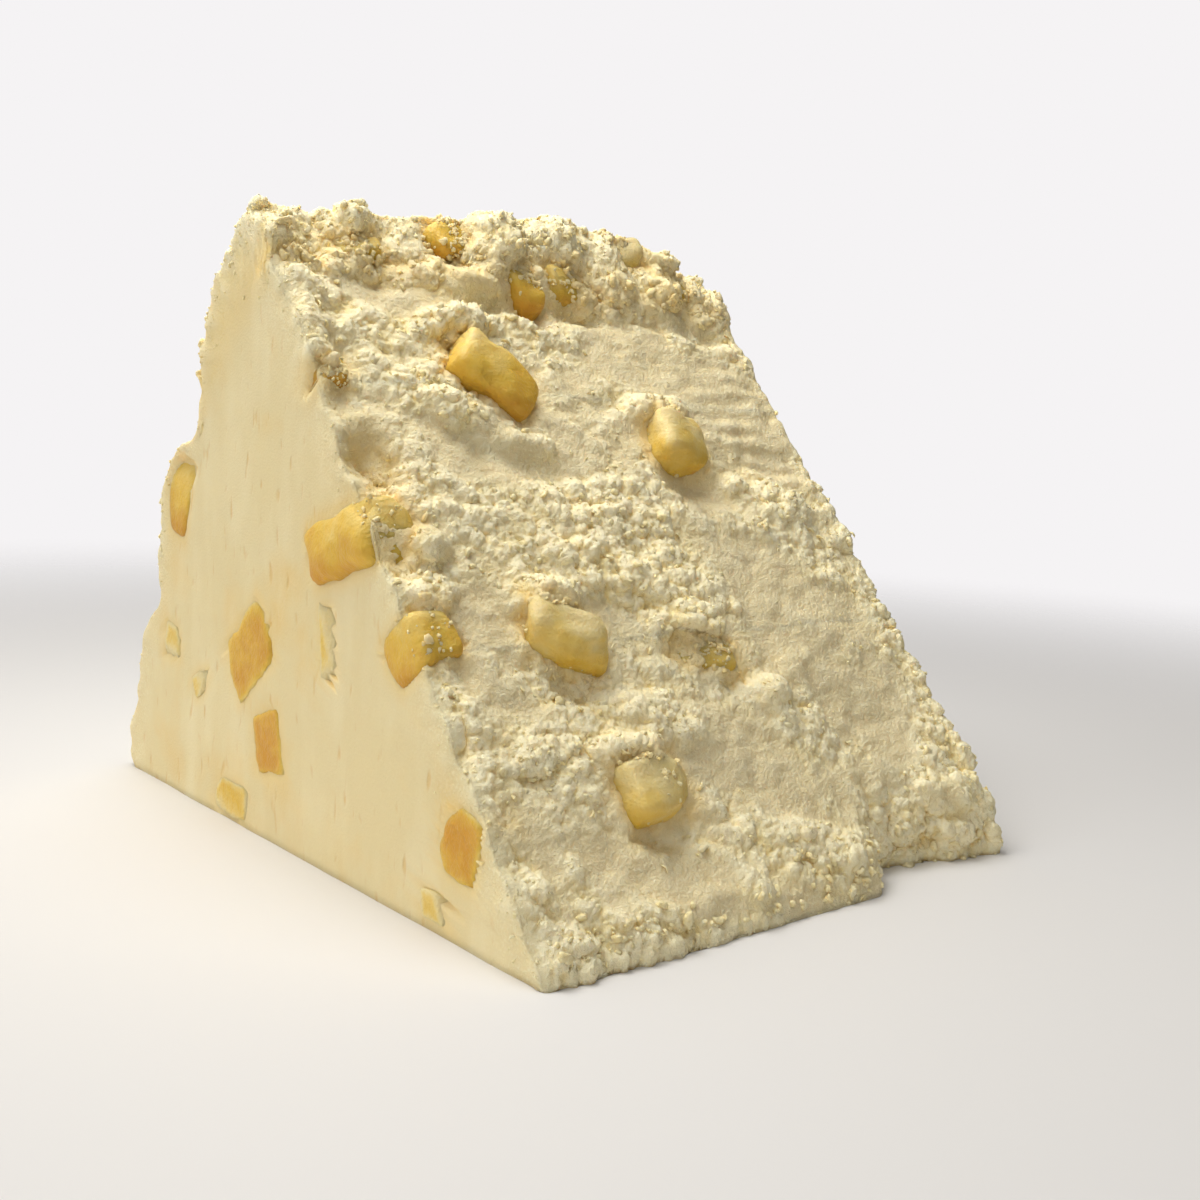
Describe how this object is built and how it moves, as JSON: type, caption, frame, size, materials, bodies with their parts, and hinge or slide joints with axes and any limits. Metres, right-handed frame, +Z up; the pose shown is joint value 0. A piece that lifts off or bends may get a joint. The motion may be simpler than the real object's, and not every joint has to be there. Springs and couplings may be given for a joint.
{
  "type": "cheese wedge",
  "caption": "Wedge of crumbly pale cheese studded with amber candied ginger, lying on one cut face, with a torn sloping face, a crumbled ridge and a broken front corner.",
  "frame": {"origin": "centre of the rectangle that the wedge rests on, at its base", "axes": "+Z up; X along the thin edge, which is the thickness of the wheel; the thin edge is at the front, -Y, and the rim at the back, +Y"},
  "size_m": [0.0677, 0.0841, 0.0697],
  "materials": {
    "cheese": "crumbly, waxy cream",
    "ginger": "translucent amber, sugary"
  },
  "bodies": {
    "root": {"ginger_base_1": "ginger", "ginger_base_2": "ginger", "ginger_base_3": "ginger", "ginger_base_4": "ginger", "ginger_edge_block": "ginger", "ginger_edge_glassy": "ginger", "ginger_edge_small": "ginger", "ginger_left_amber": "ginger", "ginger_left_dot": "ginger", "ginger_left_foot": "ginger", "ginger_left_front": "ginger", "ginger_left_rear": "ginger", "ginger_left_sliver": "ginger", "ginger_left_toe": "ginger", "ginger_left_torn": "ginger", "ginger_ridge_bright": "ginger", "ginger_right_1": "ginger", "ginger_right_2": "ginger", "ginger_right_3": "ginger", "ginger_right_4": "ginger", "ginger_right_5": "ginger", "ginger_right_6": "ginger", "ginger_rim_1": "ginger", "ginger_rim_2": "ginger", "ginger_rim_3": "ginger", "ginger_rim_4": "ginger", "ginger_rim_5": "ginger", "ginger_rim_6": "ginger", "ginger_rim_edge": "ginger", "ginger_shoulder_broad": "ginger", "ginger_shoulder_centre": "ginger", "ginger_shoulder_left": "ginger", "ginger_shoulder_orange": "ginger", "ginger_shoulder_right": "ginger", "ginger_slope_dark": "ginger", "ginger_slope_frosted": "ginger", "ginger_slope_middle": "ginger", "ginger_slope_sunk": "ginger", "ginger_slope_yellow": "ginger", "wedge": "cheese"}
  },
  "joints": []
}
